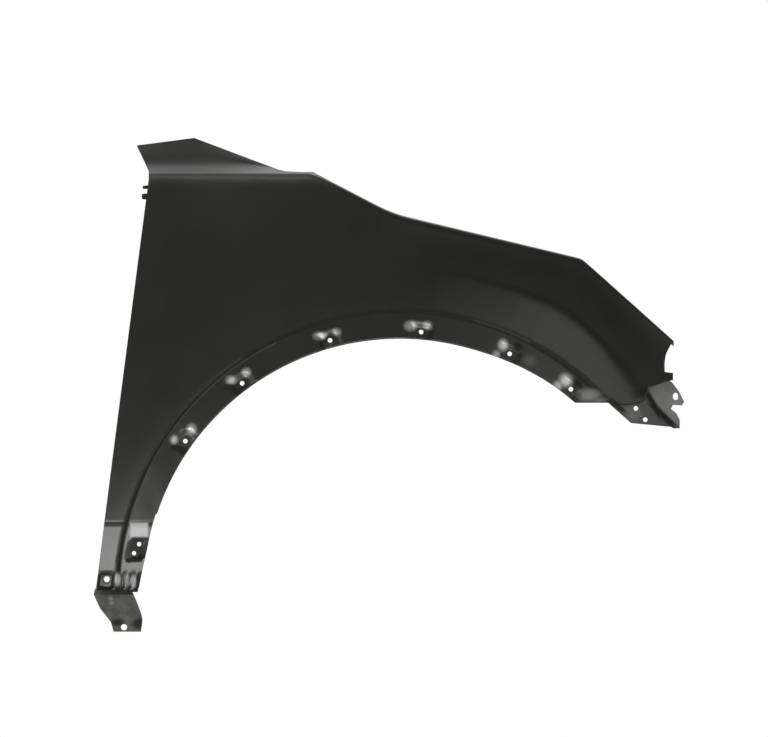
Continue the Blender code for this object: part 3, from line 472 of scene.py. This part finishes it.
def pressed_copy(node, name, levels):
    """A joined copy of a node's plain solid, drawn out smooth between its bends and rims."""
    bm = bmesh.new()
    bm.from_mesh(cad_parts[node].data)
    bmesh.ops.remove_doubles(bm, verts=bm.verts, dist=JOIN_DISTANCE)
    bmesh.ops.join_triangles(
        bm,
        faces=bm.faces,
        cmp_seam=False,
        cmp_sharp=False,
        cmp_uvs=False,
        cmp_vcols=False,
        cmp_materials=False,
        angle_face_threshold=FACET_ANGLE,
        angle_shape_threshold=FACET_SKEW,
    )
    crease = bm.edges.layers.float.new("crease_edge")
    point_crease = bm.verts.layers.float.new("crease_vert")
    for edge in bm.edges:
        angle = edge.calc_face_angle()
        if angle > RIM_ANGLE:
            edge[crease] = 1.0
        elif angle > BEND_ANGLE:
            edge[crease] = BEND_CREASE
    for vert in bm.verts:
        rims = [edge for edge in vert.link_edges if edge[crease] == 1.0]
        if len(rims) > 2:
            vert[point_crease] = 1.0
        elif len(rims) == 2:
            into = vert.co - rims[0].other_vert(vert).co
            out = rims[1].other_vert(vert).co - vert.co
            if into.angle(out) > CORNER_ANGLE:
                vert[point_crease] = 1.0
    for face in bm.faces:
        face.smooth = True
    for edge in bm.edges:
        edge.smooth = edge[crease] < 1.0
    mesh = bpy.data.meshes.new(name)
    bm.to_mesh(mesh)
    bm.free()
    piece = bpy.data.objects.new(name, mesh)
    scene.collection.objects.link(piece)
    smoothing = piece.modifiers.new("Smoothing", "SUBSURF")
    smoothing.levels = levels
    smoothing.render_levels = levels
    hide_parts(node)
    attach(piece, "root")
    return piece


panel = pressed_copy("fender_panel", "pressed_panel", PANEL_SMOOTHING)
panel.data.materials.append(panel_coat)


# The pillar bracket: a small forked clip bent from steel sheet, in the panel's own black primer.
# It is spot-welded behind the door edge, and its two thickened prongs stand out past it.
PRONG_ROOT = -0.398
PRONG_HEIGHTS = ((0.0655, 0.0750), (0.0500, 0.0640))
PRONG_SWELL = 1.7

black = dip_primer("black_dip_primer", BLACK_COLOUR, BLACK_SHADES, BLACK_ROUGHNESS, CLOUD_GRAIN)
pillar = pressed_copy("pillar_bracket", "pillar_fork", BRACKET_SMOOTHING)
pillar.data.materials.append(black)
for low, high in PRONG_HEIGHTS:
    prong = [
        vert
        for vert in pillar.data.vertices
        if vert.co.x < PRONG_ROOT and low < vert.co.z < high
    ]
    middle = sum(vert.co.z for vert in prong) / len(prong)
    for vert in prong:
        vert.co.z = middle + (vert.co.z - middle) * PRONG_SWELL


# The sill bracket: a foot of steel sheet in a dull olive primer, with one hole for the bolt
# into the sill. It is spot-welded to the backs of the leg's beads, where its top edge is kept
# clear of the socket's hole. Shade is painted dark in a strip under the leg's lower edge and round
# its bolt.
OLIVE_COLOUR = (0.052, 0.052, 0.042)
OLIVE_SHADES = (0.30, 1.75)
OLIVE_ROUGHNESS = 0.52
OLIVE_GRAIN = 75.0
TOP_EDGE_HEIGHT = -0.5215
LEG_LEAN = -0.235
FOOT_PAINTED_SHADE = (
    ("square", -0.4300, -0.5375, 0.0360, 0.0022, 0.5, 0.75),
    ("round", -0.4440, -0.5815, 0.0095, 0.0050, 0.7, 0.85),
    ("round", -0.4120, -0.5840, 0.0095, 0.0070, 0.7, 0.85),
)
SPOT_WELDS = (
    ("round", -0.4530, -0.5460, 0.0028, 0.0028, 0.6, 0.6),
    ("round", -0.4525, -0.5525, 0.0028, 0.0028, 0.6, 0.6),
)
WELDED = {"Base Color": (0.22, 0.22, 0.21, 1.0)}

olive = dip_primer("olive_primer", OLIVE_COLOUR, OLIVE_SHADES, OLIVE_ROUGHNESS, OLIVE_GRAIN)
mark_finish_and_painted_light(olive, FOOT_PAINTED_SHADE, PAINTED_SHADE)
mark_finish_and_painted_light(olive, SPOT_WELDS, WELDED)
sill = pressed_copy("sill_bracket", "sill_foot", BRACKET_SMOOTHING)
sill.data.materials.append(olive)
for vert in sill.data.vertices:
    if vert.co.z > TOP_EDGE_HEIGHT:
        vert.co += Vector((0.0, LEG_LEAN, 1.0)) * (TOP_EDGE_HEIGHT - vert.co.z)


# The bumper bracket: a plate of steel sheet in light grey primer, with a slot and a hook for
# the bumper cover. It is spot-welded behind the panel's corner tab, so its hidden edge tucks
# in there, and shade is painted dark down the seam.
GREY_COLOUR = (0.19, 0.19, 0.186)
GREY_SHADES = (0.80, 1.15)
GREY_ROUGHNESS = 0.42
GREY_GRAIN = 30.0
SEAM_TOP = Vector((0.3461, 0.0, -0.2331))
SEAM_FOOT = Vector((0.3900, 0.0, -0.2920))
SEAM_REACH = 0.0015
TUCK_LENGTH = 0.062
TUCK_FADE = 0.012
TUCK_WIDTH = 0.006
TUCK_DEPTH = -0.0010

grey = dip_primer("grey_primer", GREY_COLOUR, GREY_SHADES, GREY_ROUGHNESS, GREY_GRAIN)
mark_finish_and_painted_light(grey, PAINTED_FOLD_SHADE, PAINTED_SHADE)
bumper = pressed_copy("bumper_bracket", "bumper_plate", BRACKET_SMOOTHING)
bumper.data.materials.append(grey)
along = (SEAM_FOOT - SEAM_TOP).normalized()
outward = Vector((0.0, 1.0, 0.0)).cross(along)
for vert in bumper.data.vertices:
    from_top = Vector((vert.co.x, 0.0, vert.co.z)) - SEAM_TOP
    run = from_top.dot(along)
    if abs(from_top.dot(outward)) < SEAM_REACH and 0.0 <= run < TUCK_LENGTH:
        share = min(1.0, (TUCK_LENGTH - run) / TUCK_FADE)
        vert.co += outward * TUCK_WIDTH * share + Vector((0.0, TUCK_DEPTH * share, 0.0))
